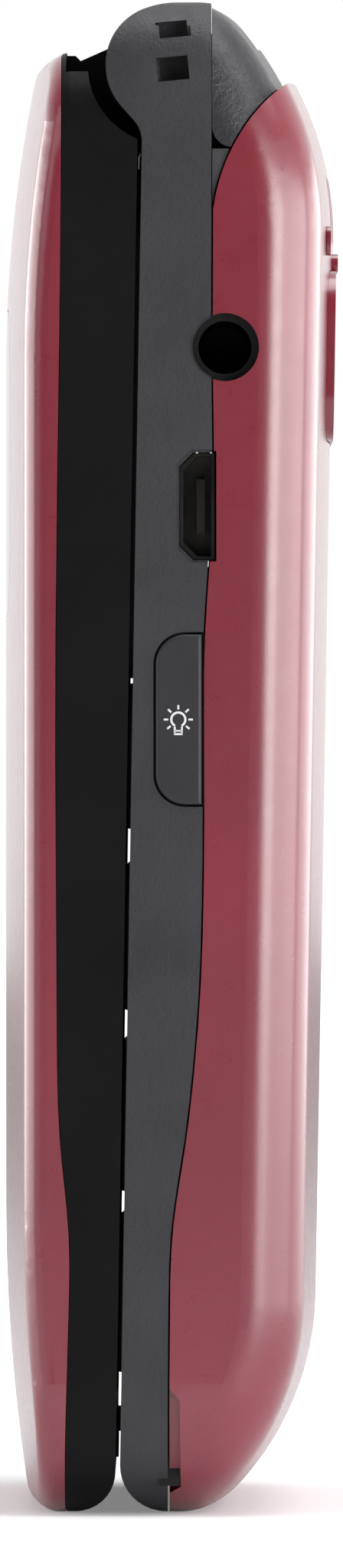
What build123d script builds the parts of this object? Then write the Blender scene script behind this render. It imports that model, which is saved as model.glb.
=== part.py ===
from build123d import *
from math import cos, radians, sin, sqrt, tan
import os

# Clamshell mobile phone, closed and standing on its lower edge.
#
# X is across the phone, the side with the headset socket at +X.  Y is through it, the lid at -Y and
# the battery side at +Y.  Z runs up its length to the hinge.  The base leans back by face_tilt, so
# its front face, its keys and its boards are drawn on planes parallel to that face: there x is
# across, y is the distance up the face and "depth" is measured into the base.  All sizes in mm.

os.makedirs("parts", exist_ok=True)

# ------------------------------------------------------------------ overall form
phone_width = 53.0
phone_length = 102.5
base_thickness = 13.28
face_foot_y = -3.47          # front face of the base, at the foot
face_tilt = 0.95             # lean of that face, degrees
closed_gap = 0.3             # between the rims of lid and base
shell_wall = 1.2
front_wall = 1.0             # wall behind the key field
low_corner = 9.0             # corners of the front view, at the foot
base_top_corner = 4.8
back_crown = 1.35            # rise of the back from side to middle
back_edge_round = 4.4
foot_round = 3.4             # lower front edge of the base
back_foot_z = 0.14 * phone_length    # where the back starts to curve in, foot and top
back_top_z = phone_length - 15.6
back_foot_radius = 19.5
back_top_radius = 22.0
room_top = phone_length - 9.2        # ceiling of the room inside the base

# ------------------------------------------------------------------ lid
lid_drop = 3.4               # top of the lid below the top of the phone
lid_length = phone_length - lid_drop
lid_outer_y = -11.37         # crown of the outer face
lid_crown = 1.6
lid_edge_round = 1.6
lid_foot_round = 3.0
lid_top_corner = 5.0
lid_foot_z = 0.208 * lid_length      # where the outer face starts to fall, foot and top
lid_top_z = lid_length - 21.1
lid_foot_radius = 128.0
lid_top_radius = 100.0
lid_sink = 0.5               # field inside the lid's rim, clear of the keys
lid_plate = 1.3
lid_rim = 2.2                # width of the rim round the sunk field
lid_notch = 0.35             # groove between the lid's top edge and its neck
lid_room_top = lid_length - 10.1

# ------------------------------------------------------------------ hinge
hinge_y = -0.14
hinge_z = phone_length - 4.43
knuckle_radius = 4.24
barrel_radius = 3.05
barrel_half = phone_width / 2 - 9.6
knuckle_gap = 0.3            # between the ends of barrel and knuckles
hinge_clear = 0.35           # round the barrel
lid_arc_radius = 5.45        # cut in the lid's side walls round the knuckles
lid_pocket_radius = 6.95     # deeper cut between the side walls
lid_side_wall = 1.5
opening_angle = 150.0
pin_radius = 1.5
cam_radius = 2.0
running_fit = 0.06

half_width = phone_width / 2
side_wall_x = half_width - shell_wall
slope = tan(radians(face_tilt))
face_plane = Plane(
    origin=(0, face_foot_y, 0),
    x_dir=(1, 0, 0),
    z_dir=(0, -cos(radians(face_tilt)), sin(radians(face_tilt))),
)


def at_depth(depth):
    """Plane parallel to the front face, depth into the base (minus: towards the lid)."""
    return face_plane.offset(-depth)


def face_y(z):
    """Y of the front face of the base at a height."""
    return face_foot_y + z * slope


def save(piece, name):
    """Label a finished piece and write it."""
    piece.part.label = name
    export_step(piece.part, f"parts/{name}.step")


# ------------------------------------------------------------------ shared forms
def plan_prism(width, foot, top, low_radius, top_radius):
    """The front view of lid or base, drawn through the whole thickness."""
    half = width / 2
    with BuildPart() as prism:
        with BuildSketch(Plane.XZ):
            with BuildLine():
                Line((-half, foot + low_radius), (-half, top - top_radius))
                RadiusArc((-half, top - top_radius), (-half + top_radius, top), top_radius)
                Line((-half + top_radius, top), (half - top_radius, top))
                RadiusArc((half - top_radius, top), (half, top - top_radius), top_radius)
                Line((half, top - top_radius), (half, foot + low_radius))
                RadiusArc((half, foot + low_radius), (half - low_radius, foot), low_radius)
                Line((half - low_radius, foot), (-half + low_radius, foot))
                RadiusArc((-half + low_radius, foot), (-half, foot + low_radius), low_radius)
            make_face()
        extrude(amount=2 * base_thickness, both=True)
    return prism.part


def crown_sweep(first_arc, straight, last_arc, crown):
    """Everything outside a crowned face: a wide arc swept down its middle line."""
    reach = half_width + 2
    drop = crown * (reach / half_width) ** 2
    with BuildPart() as outside:
        with BuildLine(Plane.YZ) as middle:
            start = ThreePointArc(*first_arc)
            Line(*straight)
            ThreePointArc(*last_arc)
        with BuildSketch(Plane(origin=start @ 0, x_dir=(1, 0, 0), z_dir=start % 0)):
            with BuildLine():
                ThreePointArc((-reach, drop), (0, 0), (reach, drop))
                far = -base_thickness
                Polyline((reach, drop), (reach, far), (-reach, far), (-reach, drop))
            make_face()
        sweep(path=middle.line)
    return outside.part


def back_outside(inset):
    """Space behind the base: a straight back with an arc at each end, set in by inset."""
    lean = radians(face_tilt)
    out = (cos(lean), -sin(lean))
    thickness = base_thickness - inset

    def on_back(z, radius, turn):
        """Point on the end arc that leaves the straight back at height z."""
        y = face_y(z) + thickness * out[0]
        centre = (y - radius * out[0], z - radius * out[1])
        return (centre[0] + radius * cos(turn - lean), centre[1] + radius * sin(turn - lean))

    top_radius = back_top_radius - inset
    foot_radius = back_foot_radius - inset
    sweep_turn = radians(62)
    top_arc = [on_back(back_top_z, top_radius, t * sweep_turn) for t in (1, 0.5, 0)]
    foot_arc = [on_back(back_foot_z, foot_radius, -t * sweep_turn) for t in (0, 0.5, 1)]
    return crown_sweep(top_arc, (top_arc[2], foot_arc[0]), foot_arc, back_crown)


def lid_outside(inset):
    """Space in front of the lid's outer face, set in by inset."""
    y = lid_outer_y + inset

    def on_face(z, radius, run):
        """Point on the end arc that leaves the straight face at height z."""
        return (y + radius - sqrt(radius**2 - run**2), z + run)

    foot_arc = [on_face(lid_foot_z, lid_foot_radius - inset, -r) for r in (26, 13, 0)]
    top_arc = [on_face(lid_top_z, lid_top_radius - inset, r) for r in (0, 13, 26)]
    return crown_sweep(foot_arc, (foot_arc[2], top_arc[0]), top_arc, lid_crown)


def near(builder, point):
    """The vertex of a sketch nearest to a point in its own plane."""
    return builder.vertices().sort_by_distance(point)[0]


def side_edges(builder, past_y):
    """The edges that run round the crowned face, beyond past_y on its own side."""
    way = 1 if past_y > 0 else -1
    loose = builder.edges().filter_by(Axis.Y, reverse=True).filter_by(GeomType.CIRCLE, reverse=True)
    return [edge for edge in loose if ((edge @ 0.5).Y - past_y) * way > 0]


def base_blank():
    """Outer form of the base with its two knuckles still joined in one bar."""
    leave_turn = radians(222)
    crest_turn = radians(113)
    leave = (hinge_y + knuckle_radius * cos(leave_turn), hinge_z + knuckle_radius * sin(leave_turn))
    crest = (hinge_y + knuckle_radius * cos(crest_turn), hinge_z + knuckle_radius * sin(crest_turn))
    run = (face_y(leave[1]) - leave[0]) / (-sin(leave_turn) - cos(leave_turn) * slope)
    throat = (leave[0] - run * sin(leave_turn), leave[1] + run * cos(leave_turn))
    flat_y = crest[0] + (phone_length - crest[1]) / tan((crest_turn - radians(90)) / 2)
    foot = (face_foot_y, 0)
    with BuildPart() as blank:
        with BuildSketch(Plane.YZ) as side:
            with BuildLine():
                Polyline(foot, throat, leave)
                knuckle = ThreePointArc(leave, (hinge_y - knuckle_radius, hinge_z), crest)
                TangentArc(crest, (flat_y, phone_length), tangent=knuckle % 1)
                back = base_thickness
                Polyline((flat_y, phone_length), (back, phone_length), (back, 0), foot)
            make_face()
            fillet(near(side, throat), knuckle_radius / 2)
            fillet(near(side, foot), foot_round)
        extrude(amount=half_width, both=True)
        add(plan_prism(phone_width, 0, phone_length, low_corner, base_top_corner), mode=Mode.INTERSECT)
        add(back_outside(0), mode=Mode.SUBTRACT)
        fillet(side_edges(blank, 1.0), back_edge_round)
    return blank.part


def base_hollow(ceiling):
    """Room inside the base up to a ceiling, a wall in from its sides and back."""
    foot = (face_y(shell_wall) + front_wall, shell_wall)
    head = (face_y(ceiling) + front_wall, ceiling)
    back = base_thickness
    with BuildPart() as room:
        with BuildSketch(Plane.YZ) as side:
            with BuildLine():
                Polyline(foot, head, (back, ceiling), (back, shell_wall), foot)
            make_face()
            fillet(near(side, foot), foot_round - shell_wall)
        extrude(amount=side_wall_x, both=True)
        inner = phone_width - 2 * shell_wall
        low = low_corner - shell_wall
        high = base_top_corner - shell_wall
        add(plan_prism(inner, shell_wall, phone_length, low, high), mode=Mode.INTERSECT)
        add(back_outside(shell_wall), mode=Mode.SUBTRACT)
        long_edges = [edge for edge in side_edges(room, 1.0) if (edge @ 0.5).Z < ceiling - 0.1]
        fillet(long_edges, back_edge_round - shell_wall)
    return room.part


def lid_blank():
    """Outer form of the lid with its neck and hinge barrel still as wide as the lid."""
    neck_turn = radians(114)
    tangent = (hinge_y + barrel_radius * cos(neck_turn), hinge_z + barrel_radius * sin(neck_turn))
    neck_way = (-sin(neck_turn), cos(neck_turn))
    neck_run = (tangent[1] - lid_length + lid_notch) / -neck_way[1]
    groove = (tangent[0] + neck_run * neck_way[0], lid_length - lid_notch)
    corner = (groove[0] - lid_notch, lid_length)
    front = lid_outer_y - lid_crown
    root_z = hinge_z - barrel_radius
    foot = (face_y(0) - closed_gap, 0)
    root = (face_y(root_z) - closed_gap, root_z)
    with BuildPart() as blank:
        with BuildSketch(Plane.YZ) as side:
            with BuildLine():
                Polyline(foot, root, (hinge_y, root_z), (hinge_y, hinge_z), tangent, groove, corner)
                Polyline(corner, (front, lid_length), (front, 0), foot)
            make_face()
            with Locations((hinge_y, hinge_z)):
                Circle(barrel_radius)
            fillet(near(side, foot), lid_foot_round)
        extrude(amount=half_width, both=True)
        outline = plan_prism(phone_width, 0, lid_length, low_corner, lid_top_corner)
        with BuildSketch(Plane.XZ.offset(-lid_outer_y / 2)):
            with Locations((0, lid_length)):
                Rectangle(phone_width - 2 * lid_top_corner, 4 * barrel_radius)
        neck_room = extrude(amount=-base_thickness, mode=Mode.PRIVATE)
        add(outline + neck_room, mode=Mode.INTERSECT)
        add(lid_outside(0), mode=Mode.SUBTRACT)
        fillet(side_edges(blank, 0.65 * lid_outer_y), lid_edge_round)
    return blank.part


def round_hinge(radius, x_low, x_high):
    """Cylinder on the hinge axis between two places across the phone."""
    with BuildPart() as drum:
        with BuildSketch(Plane.YZ.offset(x_low)):
            with Locations((hinge_y, hinge_z)):
                Circle(radius)
        extrude(amount=x_high - x_low)
    return drum.part


def lid_body():
    """The lid's outer form cut clear of the base's knuckles."""
    inner_x = half_width - lid_side_wall
    with BuildPart() as body:
        add(lid_blank())
        for way in (-1, 1):
            ends = sorted((way * barrel_half, way * (half_width + 1)))
            add(round_hinge(lid_arc_radius, *ends), mode=Mode.SUBTRACT)
            pocket = sorted((way * barrel_half, way * inner_x))
            add(round_hinge(lid_pocket_radius, *pocket), mode=Mode.SUBTRACT)
    return body.part


def lid_hollow():
    """Room inside the lid between its face plate and its outer wall."""
    floor = closed_gap + lid_sink + lid_plate
    foot = 1.25 * shell_wall
    front = lid_outer_y
    with BuildPart() as room:
        with BuildSketch(Plane.YZ):
            with BuildLine():
                low = (face_y(foot) - floor, foot)
                high = (face_y(lid_room_top) - floor, lid_room_top)
                Polyline(low, high, (front, lid_room_top), (front, foot), low)
            make_face()
        extrude(amount=side_wall_x, both=True)
        inner = phone_width - 2 * shell_wall
        low_r = low_corner - shell_wall
        high_r = lid_top_corner - shell_wall
        add(plan_prism(inner, foot, lid_length, low_r, high_r), mode=Mode.INTERSECT)
        add(lid_outside(shell_wall), mode=Mode.SUBTRACT)
    return room.part


def side_cut(seam, shift, reach):
    """Everything on one side of a seam that is drawn in side view, as (Y, Z) points."""
    moved = [(y + shift, z) for y, z in seam]
    with BuildPart() as half:
        with BuildSketch(Plane.YZ):
            with BuildLine():
                Spline(*moved)
                far = moved[0][0] + reach
                Polyline(moved[-1], (far, moved[-1][1]), (far, moved[0][1]), moved[0])
            make_face()
        extrude(amount=half_width + 1, both=True)
    return half.part


# ------------------------------------------------------------------ lid shells
lid_seam_shares = [              # Y, and share of the lid's length
    (-7.42, 1.04),
    (-7.42, 0.888),
    (-7.78, 0.565),
    (-7.68, 0.333),
    (-7.42, 0.250),
    (-6.90, 0.196),
    (-6.86, 0.146),
    (-7.10, 0.061),
    (-7.10, -0.010),
]
lid_seam = [(y, share * lid_length) for y, share in lid_seam_shares]
seam_gap = 0.05
lid_form = lid_body()
lid_room = lid_hollow()

outer_window = (27.0, 21.0)       # across, up
outer_window_z = lid_length - 27.6
outer_window_round = 6.0
window_gap = 0.08
screw_post = 2.0
screw_shank = 0.7
screw_head = 1.45
screw_head_high = 0.9
lid_screw_x = half_width - 5.5
lid_screw_places = [(way * lid_screw_x, s) for way in (-1, 1) for s in (10.0, lid_length - 13.6)]
face_plate_back = closed_gap + lid_sink + lid_plate

with BuildPart() as lid_posts:
    with BuildSketch(at_depth(-face_plate_back - seam_gap)):
        with Locations(*lid_screw_places):
            Circle(screw_post)
    extrude(amount=base_thickness)
    add(lid_form, mode=Mode.INTERSECT)

with BuildPart() as lid_outer_cover:
    add(lid_form)
    add(side_cut(lid_seam, 0, -10), mode=Mode.INTERSECT)
    add(lid_room, mode=Mode.SUBTRACT)
    add(lid_posts.part)
    with BuildSketch(Plane.XZ):
        with Locations((0, outer_window_z)):
            RectangleRounded(*[size + 2 * window_gap for size in outer_window], outer_window_round)
    extrude(amount=2 * base_thickness, mode=Mode.SUBTRACT)
    with BuildSketch(at_depth(-face_plate_back)):
        with Locations(*lid_screw_places):
            Circle(screw_shank)
    extrude(amount=3.5, mode=Mode.SUBTRACT)
save(lid_outer_cover, "lid_outer_cover")

with BuildPart() as outer_display_window:
    with BuildSketch(Plane.XZ):
        with Locations((0, outer_window_z)):
            RectangleRounded(*outer_window, outer_window_round)
    extrude(amount=2 * base_thickness)
    add(lid_form, mode=Mode.INTERSECT)
    with BuildSketch(Plane.XZ.offset(-lid_outer_y - shell_wall)):
        Rectangle(2 * phone_width, 3 * phone_length)
    extrude(amount=-base_thickness, mode=Mode.SUBTRACT)
save(outer_display_window, "outer_display_window")

main_window_foot = 26.5
main_window_top = lid_length - 15.6
main_window = (phone_width - 11.0, main_window_top - main_window_foot, 0.9)
main_window_s = (main_window_foot + main_window_top) / 2
main_window_round = 2.5
active_area = (main_window[0] - 4.5, main_window[1] - 7.0)
main_panel = (main_window[0] - 1.0, main_window[1] - 2.5, 1.8)
earpiece_s = lid_length - 12.8
earpiece_slot = (9.0, 1.4)
receiver = (15.0, 5.0, 2.2)
cap_radius = 1.9
cap_depth = 0.5
bumper = (3.4, 1.8)
bumper_place = (half_width - 5.5, 4.75)
bumper_proud = closed_gap - 0.1
bumper_seat = 0.3
barrel_bore = cam_radius + running_fit
pin_bore = pin_radius + running_fit
cam_reach = 8.5              # inner end of the cam module from the middle
pin_reach = 12.5
flex_bore = 2.35

with BuildPart() as lid_inner_frame:
    add(lid_form)
    add(side_cut(lid_seam, seam_gap, 14), mode=Mode.INTERSECT)
    add(lid_room, mode=Mode.SUBTRACT)
    # sunk field inside the rim
    rim_top = hinge_z - lid_pocket_radius - 1.0
    rim_foot = bumper_place[1] + bumper[1]
    with BuildSketch(at_depth(0)):
        with Locations((0, (rim_top + rim_foot) / 2)):
            RectangleRounded(phone_width - 2 * lid_rim, rim_top - rim_foot, lid_rim)
    extrude(amount=closed_gap + lid_sink, mode=Mode.SUBTRACT)
    # seat and opening of the main display
    with BuildSketch(at_depth(-closed_gap - lid_sink)):
        with Locations((0, main_window_s)):
            RectangleRounded(
                main_window[0] + 2 * window_gap, main_window[1] + 2 * window_gap, main_window_round
            )
    extrude(amount=main_window[2], mode=Mode.SUBTRACT)
    with BuildSketch(at_depth(0)):
        with Locations((0, main_window_s)):
            Rectangle(*active_area)
        with Locations((0, earpiece_s)):
            SlotOverall(*earpiece_slot)
        with Locations(*lid_screw_places):
            Circle(screw_shank + window_gap)
    extrude(amount=face_plate_back + seam_gap, mode=Mode.SUBTRACT)
    # screw caps sit over the heads, the heads on the plate
    with BuildSketch(at_depth(-closed_gap - lid_sink)):
        with Locations(*lid_screw_places):
            Circle(cap_radius)
    extrude(amount=cap_depth, mode=Mode.SUBTRACT)
    with BuildSketch(at_depth(-closed_gap - lid_sink - cap_depth)):
        with Locations(*lid_screw_places):
            Circle(screw_head + window_gap)
    extrude(amount=lid_plate - cap_depth - 0.4, mode=Mode.SUBTRACT)
    with BuildSketch(at_depth(0)):
        for way in (-1, 1):
            with Locations((way * bumper_place[0], bumper_place[1])):
                SlotOverall(*bumper)
    extrude(amount=closed_gap + bumper_seat, mode=Mode.SUBTRACT)
    # bores of the barrel: cam module, hinge pin, and the rolled cable between them
    add(round_hinge(barrel_bore, -barrel_half, -cam_reach), mode=Mode.SUBTRACT)
    add(round_hinge(flex_bore, -cam_reach, pin_reach), mode=Mode.SUBTRACT)
    add(round_hinge(pin_bore, pin_reach, barrel_half), mode=Mode.SUBTRACT)
save(lid_inner_frame, "lid_inner_frame")


def slab(plane, place, size, thickness, corner):
    """A flat block: its upper face on a plane, its body behind it."""
    with BuildPart() as block:
        with BuildSketch(plane):
            with Locations(place):
                RectangleRounded(*size, corner)
        extrude(amount=-thickness)
    return block


# ------------------------------------------------------------------ what the lid holds
window_plane = at_depth(-closed_gap - lid_sink - main_window[2])
main_display_window = slab(
    window_plane, (0, main_window_s), main_window[:2], main_window[2], main_window_round
)
save(main_display_window, "main_display_window")

main_panel_back = face_plate_back + main_panel[2]
main_display_panel = slab(
    at_depth(-main_panel_back), (0, main_window_s), main_panel[:2], main_panel[2], 1.0
)
save(main_display_panel, "main_display_panel")

mesh_thickness = 0.4
with BuildPart() as earpiece_mesh:
    with BuildSketch(at_depth(-face_plate_back + mesh_thickness)):
        with Locations((0, earpiece_s)):
            SlotOverall(earpiece_slot[0] - window_gap, earpiece_slot[1] - window_gap)
    extrude(amount=mesh_thickness)
save(earpiece_mesh, "earpiece_mesh")

earpiece_receiver = slab(
    at_depth(-face_plate_back - receiver[2]), (0, earpiece_s), receiver[:2], receiver[2], 1.5
)
save(earpiece_receiver, "earpiece_receiver")

lid_board_thickness = 0.8
lid_board_back = main_panel_back + lid_board_thickness
lid_board = (phone_width - 7.0, main_window[1] + 9.0)
lid_circuit_board = slab(
    at_depth(-lid_board_back), (0, main_window_s - 7.0), lid_board, lid_board_thickness, 2.0
)
save(lid_circuit_board, "lid_circuit_board")

outer_panel = (24.0, 18.0, 1.9)
carrier_thickness = 0.95
with BuildPart() as outer_display_carrier:
    with BuildSketch(at_depth(-lid_board_back)):
        with Locations((0, outer_window_z)):
            RectangleRounded(outer_panel[0] + 3, outer_panel[1] + 3, 2.0)
            Rectangle(outer_panel[0] - 4, outer_panel[1] - 4, mode=Mode.SUBTRACT)
    extrude(amount=carrier_thickness)
save(outer_display_carrier, "outer_display_carrier")

outer_display_panel = slab(
    at_depth(-lid_board_back - carrier_thickness - outer_panel[2]),
    (0, outer_window_z),
    outer_panel[:2],
    outer_panel[2],
    0.8,
)
save(outer_display_panel, "outer_display_panel")

magnet = (8.0, 3.0, 1.5)
lid_magnet = slab(at_depth(-face_plate_back - magnet[2]), (0, 8.0), magnet[:2], magnet[2], 0.4)
save(lid_magnet, "lid_magnet")

with BuildPart() as lid_screws:
    head_seat = closed_gap + lid_sink + lid_plate - 0.4
    with BuildSketch(at_depth(-head_seat)):
        with Locations(*lid_screw_places):
            Circle(screw_head)
    extrude(amount=-0.35)
    with BuildSketch(at_depth(-head_seat)):
        with Locations(*lid_screw_places):
            Circle(screw_shank)
    extrude(amount=3.4)
save(lid_screws, "lid_screws")

with BuildPart() as lid_screw_caps:
    with BuildSketch(at_depth(-closed_gap - lid_sink)):
        with Locations(*lid_screw_places):
            Circle(cap_radius - 0.03)
    extrude(amount=cap_depth)
save(lid_screw_caps, "lid_screw_caps")

with BuildPart() as lid_bumpers:
    with BuildSketch(at_depth(-closed_gap - bumper_seat)):
        for way in (-1, 1):
            with Locations((way * bumper_place[0], bumper_place[1])):
                SlotOverall(bumper[0] - 0.06, bumper[1] - 0.06)
    extrude(amount=-(bumper_seat + bumper_proud))
save(lid_bumpers, "lid_bumpers")

flex_thickness = 0.15
with BuildPart() as lid_flex_cable:
    flex_ends = (-cam_reach + 0.5, pin_reach - 0.5)
    add(round_hinge(flex_bore - 0.05, *flex_ends))
    add(round_hinge(flex_bore - 0.05 - flex_thickness, *flex_ends), mode=Mode.SUBTRACT)
save(lid_flex_cable, "lid_flex_cable")


# ------------------------------------------------------------------ base shells
base_seam_shares = [             # Y, and share of the phone's length
    (2.77, 1.015),
    (2.77, 0.878),
    (2.77, 0.742),
    (2.77, 0.668),
    (2.22, 0.580),
    (2.16, 0.507),
    (2.14, 0.420),
    (1.89, 0.343),
    (1.48, 0.293),
    (0.85, 0.242),
    (0.07, 0.191),
    (-0.15, 0.137),
    (-0.19, 0.059),
    (-0.19, -0.010),
]
base_seam = [(y, share * phone_length) for y, share in base_seam_shares]
cover_gap = 0.12             # line between the battery cover and its neighbours
seam_y = base_seam[0][0]
cover_arc_radius = 13.0      # upper edge of the battery cover, in side view
cover_arc_z = phone_length - 15.9
top_cover_foot = phone_length - 10.0
top_cover_corner = 1.4
top_cover_sink = 0.93        # the top cover lies this far below the battery cover
key_gap = 0.15

base_form = base_blank()
base_room = base_hollow(room_top)
cover_room = base_hollow(phone_length - 4.0)
middle_half = barrel_half + knuckle_gap


def under_cover_arc(radius):
    """Space on the battery cover's side of its upper edge."""
    with BuildPart() as inside:
        with BuildSketch(Plane.YZ):
            with Locations((seam_y + cover_arc_radius, cover_arc_z)):
                Circle(radius)
            with Locations((seam_y + cover_arc_radius - radius, cover_arc_z)):
                Rectangle(radius, phone_length, align=(Align.MAX, Align.MAX))
                Rectangle(2 * radius, phone_length, align=(Align.MIN, Align.MAX))
        extrude(amount=half_width + 1, both=True)
    return inside.part


def barrel_trough():
    """Room between the knuckles for the lid's barrel and for its neck as the lid opens."""
    clear = barrel_radius + hinge_clear
    lip_z = hinge_z - clear
    low_z = lip_z - knuckle_radius
    turn = radians(114 - opening_angle)
    out = Vector(cos(turn), sin(turn))
    along = Vector(-sin(turn), cos(turn))
    centre = Vector(hinge_y, hinge_z)
    with BuildPart() as trough:
        with BuildSketch(Plane.YZ):
            with Locations((hinge_y, hinge_z)):
                Circle(clear)
            with BuildLine():
                Polyline((face_y(low_z), low_z), (face_y(lip_z), lip_z), (hinge_y, lip_z))
                Polyline((hinge_y, lip_z), (hinge_y, phone_length + 1), (-20, phone_length + 1))
                Polyline((-20, phone_length + 1), (-20, low_z), (face_y(low_z), low_z))
            make_face()
            with BuildLine():
                reach = 14
                near_side = centre + out * (clear + lid_notch + hinge_clear)
                far_side = centre - out * reach
                Polyline(near_side, near_side + along * reach, far_side + along * reach, far_side)
                Line(far_side, near_side)
            make_face()
        extrude(amount=middle_half, both=True)
    return trough.part


trough = barrel_trough()

# keys on the face: name, across, up, (width, height, corner), proud
row_pitch = 0.12 * phone_length
column_pitch = 0.2943 * phone_width
top_row_s = 0.5015 * phone_length
side_column = 0.3094 * phone_width
soft_row_s = 0.7863 * phone_length
call_row_s = 0.6693 * phone_length
nav_s = 0.7298 * phone_length
digit_key = (column_pitch - 2.3, row_pitch - 2.4, 2.4)
soft_key = (0.234 * phone_width, 8.4, 2.4)
call_key_size = (0.234 * phone_width, 9.6, 2.4)
nav_size = (0.3094 * phone_width, 21.0, 6.0)
digit_proud = closed_gap
plate_proud = closed_gap - 0.02      # raised plate round the function keys
function_proud = closed_gap + 0.1
plate_margin = 2.4
plate_foot = top_row_s + digit_key[1] / 2 + 0.6
plate_top = soft_row_s + soft_key[1] / 2 + 2 * plate_margin
plate_size = (phone_width - 5.2, plate_top - plate_foot, 3.6)
digit_names = ["1", "2", "3", "4", "5", "6", "7", "8", "9", "star", "0", "hash"]
face_keys = []
for index, name in enumerate(digit_names):
    row, column = divmod(index, 3)
    x = (column - 1) * column_pitch
    face_keys.append((f"key_{name}", x, top_row_s - row * row_pitch, digit_key, digit_proud))
face_keys.append(("left_soft_key", -side_column, soft_row_s, soft_key, function_proud))
face_keys.append(("right_soft_key", side_column, soft_row_s, soft_key, function_proud))
face_keys.append(("call_key", -side_column, call_row_s, call_key_size, function_proud))
face_keys.append(("end_key", side_column, call_row_s, call_key_size, function_proud))

# side openings, as (Y, Z)
torch_key_z = 0.5254 * phone_length
torch_key_length = 11.5
torch_key_low = (-1.0, torch_key_z - torch_key_length / 2)
torch_key_high = (2.1, torch_key_z + torch_key_length / 2)
torch_key_corner = 2.0
jack_place = (3.68, 0.7707 * phone_length)
jack_mouth = 2.2
usb_mid_z = 0.6659 * phone_length
usb_length = 7.3
usb_low = (0.6, usb_mid_z - usb_length / 2)
usb_high = (3.02, usb_mid_z + usb_length / 2)
usb_chamfer = 0.95
mouth_step = 0.16            # shallow step round the two socket mouths
volume_centre = (0.5, 0.69 * phone_length)
volume_size = (2.6, 17.0)
post_radius = 1.5
post_rows = (5.6, 0.5873 * phone_length, phone_length - 12.5)
post_places = [(way * (half_width - 5.0), s) for way in (-1, 1) for s in post_rows]
post_pilot = 0.6
chassis_depth = 5.3
chassis_plate = 1.0
mic_hole = 0.5
mic_place = (0.0, 5.4)


def side_tool(way, depth):
    """Plane across the phone, from which a side opening is cut outwards."""
    return Plane.YZ.offset(way * (half_width - depth))


def torch_outline(grow):
    """Torch key in side view: square to the seam, round on the other side."""
    low = (torch_key_low[0] - grow, torch_key_low[1] - grow)
    high = (torch_key_high[0] + grow, torch_key_high[1] + grow)
    with BuildSketch() as outline:
        with BuildLine():
            Polyline(low, (high[0], low[1]), high, (low[0], high[1]), low)
        make_face()
        fillet(outline.vertices().group_by(Axis.X)[0], torch_key_corner + grow)
    return outline.sketch


def usb_outline(grow):
    """Micro-USB opening in side view, its two front corners cut."""
    low = (usb_low[0] - grow, usb_low[1] - grow)
    high = (usb_high[0] + grow, usb_high[1] + grow)
    with BuildSketch() as outline:
        with BuildLine():
            Polyline(low, (high[0], low[1]), high, (low[0], high[1]), low)
        make_face()
        chamfer(outline.vertices().group_by(Axis.X)[0], usb_chamfer)
    return outline.sketch


strap_turn = 5.5
strap_bar = 1.1
strap_depth = 2.5
strap_holes = [((0.28, hinge_z + 2.43), (2.12, 1.12)), ((0.16, hinge_z - 0.27), (2.12, 1.62))]

with BuildPart() as base_front_housing:
    add(base_form)
    add(side_cut(base_seam, 0, -16), mode=Mode.INTERSECT)
    add(base_room, mode=Mode.SUBTRACT)
    with BuildSketch(at_depth(front_wall / 2)):
        with Locations(*post_places):
            Circle(post_radius)
    extrude(amount=-(chassis_depth - front_wall / 2))
    with BuildSketch(at_depth(chassis_depth)):
        with Locations(*post_places):
            Circle(post_pilot)
    extrude(amount=3.6, mode=Mode.SUBTRACT)
    add(trough, mode=Mode.SUBTRACT)
    add(round_hinge(cam_radius, -middle_half - 6.5, -middle_half), mode=Mode.SUBTRACT)
    add(round_hinge(pin_radius, middle_half, middle_half + 6.0), mode=Mode.SUBTRACT)
    # plate round the function keys, then the key openings
    with BuildSketch(at_depth(-plate_proud)):
        with Locations((0, (plate_foot + plate_top) / 2)):
            RectangleRounded(*plate_size)
    extrude(amount=-(plate_proud + front_wall / 2))
    with BuildSketch(at_depth(2 * front_wall)):
        for name, x, s, (wide, high, corner), proud in face_keys:
            with Locations((x, s)):
                RectangleRounded(wide + 2 * key_gap, high + 2 * key_gap, corner + key_gap)
        with Locations((0, nav_s)):
            RectangleRounded(*[size + 2 * key_gap for size in nav_size])
        with Locations(mic_place):
            Circle(mic_hole)
    extrude(amount=4 * front_wall, mode=Mode.SUBTRACT)
    # right side: torch key, charging socket, headset socket
    with BuildSketch(side_tool(1, 2 * shell_wall)):
        add(torch_outline(key_gap))
        with Locations((torch_key_high[0] + 1, (torch_key_low[1] + torch_key_high[1]) / 2)):
            Rectangle(3, torch_key_high[1] - torch_key_low[1] + 2 * key_gap)
        add(usb_outline(0))
        with Locations(jack_place):
            Circle(jack_mouth)
    extrude(amount=3 * shell_wall, mode=Mode.SUBTRACT)
    with BuildSketch(side_tool(1, 2 * mouth_step)):
        add(usb_outline(mouth_step))
        with Locations(jack_place):
            Circle(jack_mouth + mouth_step)
    extrude(amount=shell_wall, mode=Mode.SUBTRACT)
    # left side: volume rocker
    with BuildSketch(side_tool(-1, 2 * shell_wall)):
        with Locations(volume_centre):
            wide = volume_size[0] + 2 * key_gap
            RectangleRounded(wide, volume_size[1] + 2 * key_gap, 0.49 * wide)
    extrude(amount=-3 * shell_wall, mode=Mode.SUBTRACT)
    # strap eye: two mouths, joined behind the bar
    with BuildSketch(side_tool(1, strap_bar)):
        for place, size in strap_holes:
            with Locations(place):
                Rectangle(*size, rotation=strap_turn)
    extrude(amount=2 * strap_bar, mode=Mode.SUBTRACT)
    with BuildSketch(side_tool(1, strap_depth)):
        with Locations((0.22, hinge_z + 0.93)):
            Rectangle(2.12, 4.1, rotation=strap_turn)
    extrude(amount=strap_depth - strap_bar, mode=Mode.SUBTRACT)
save(base_front_housing, "base_front_housing")

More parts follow.
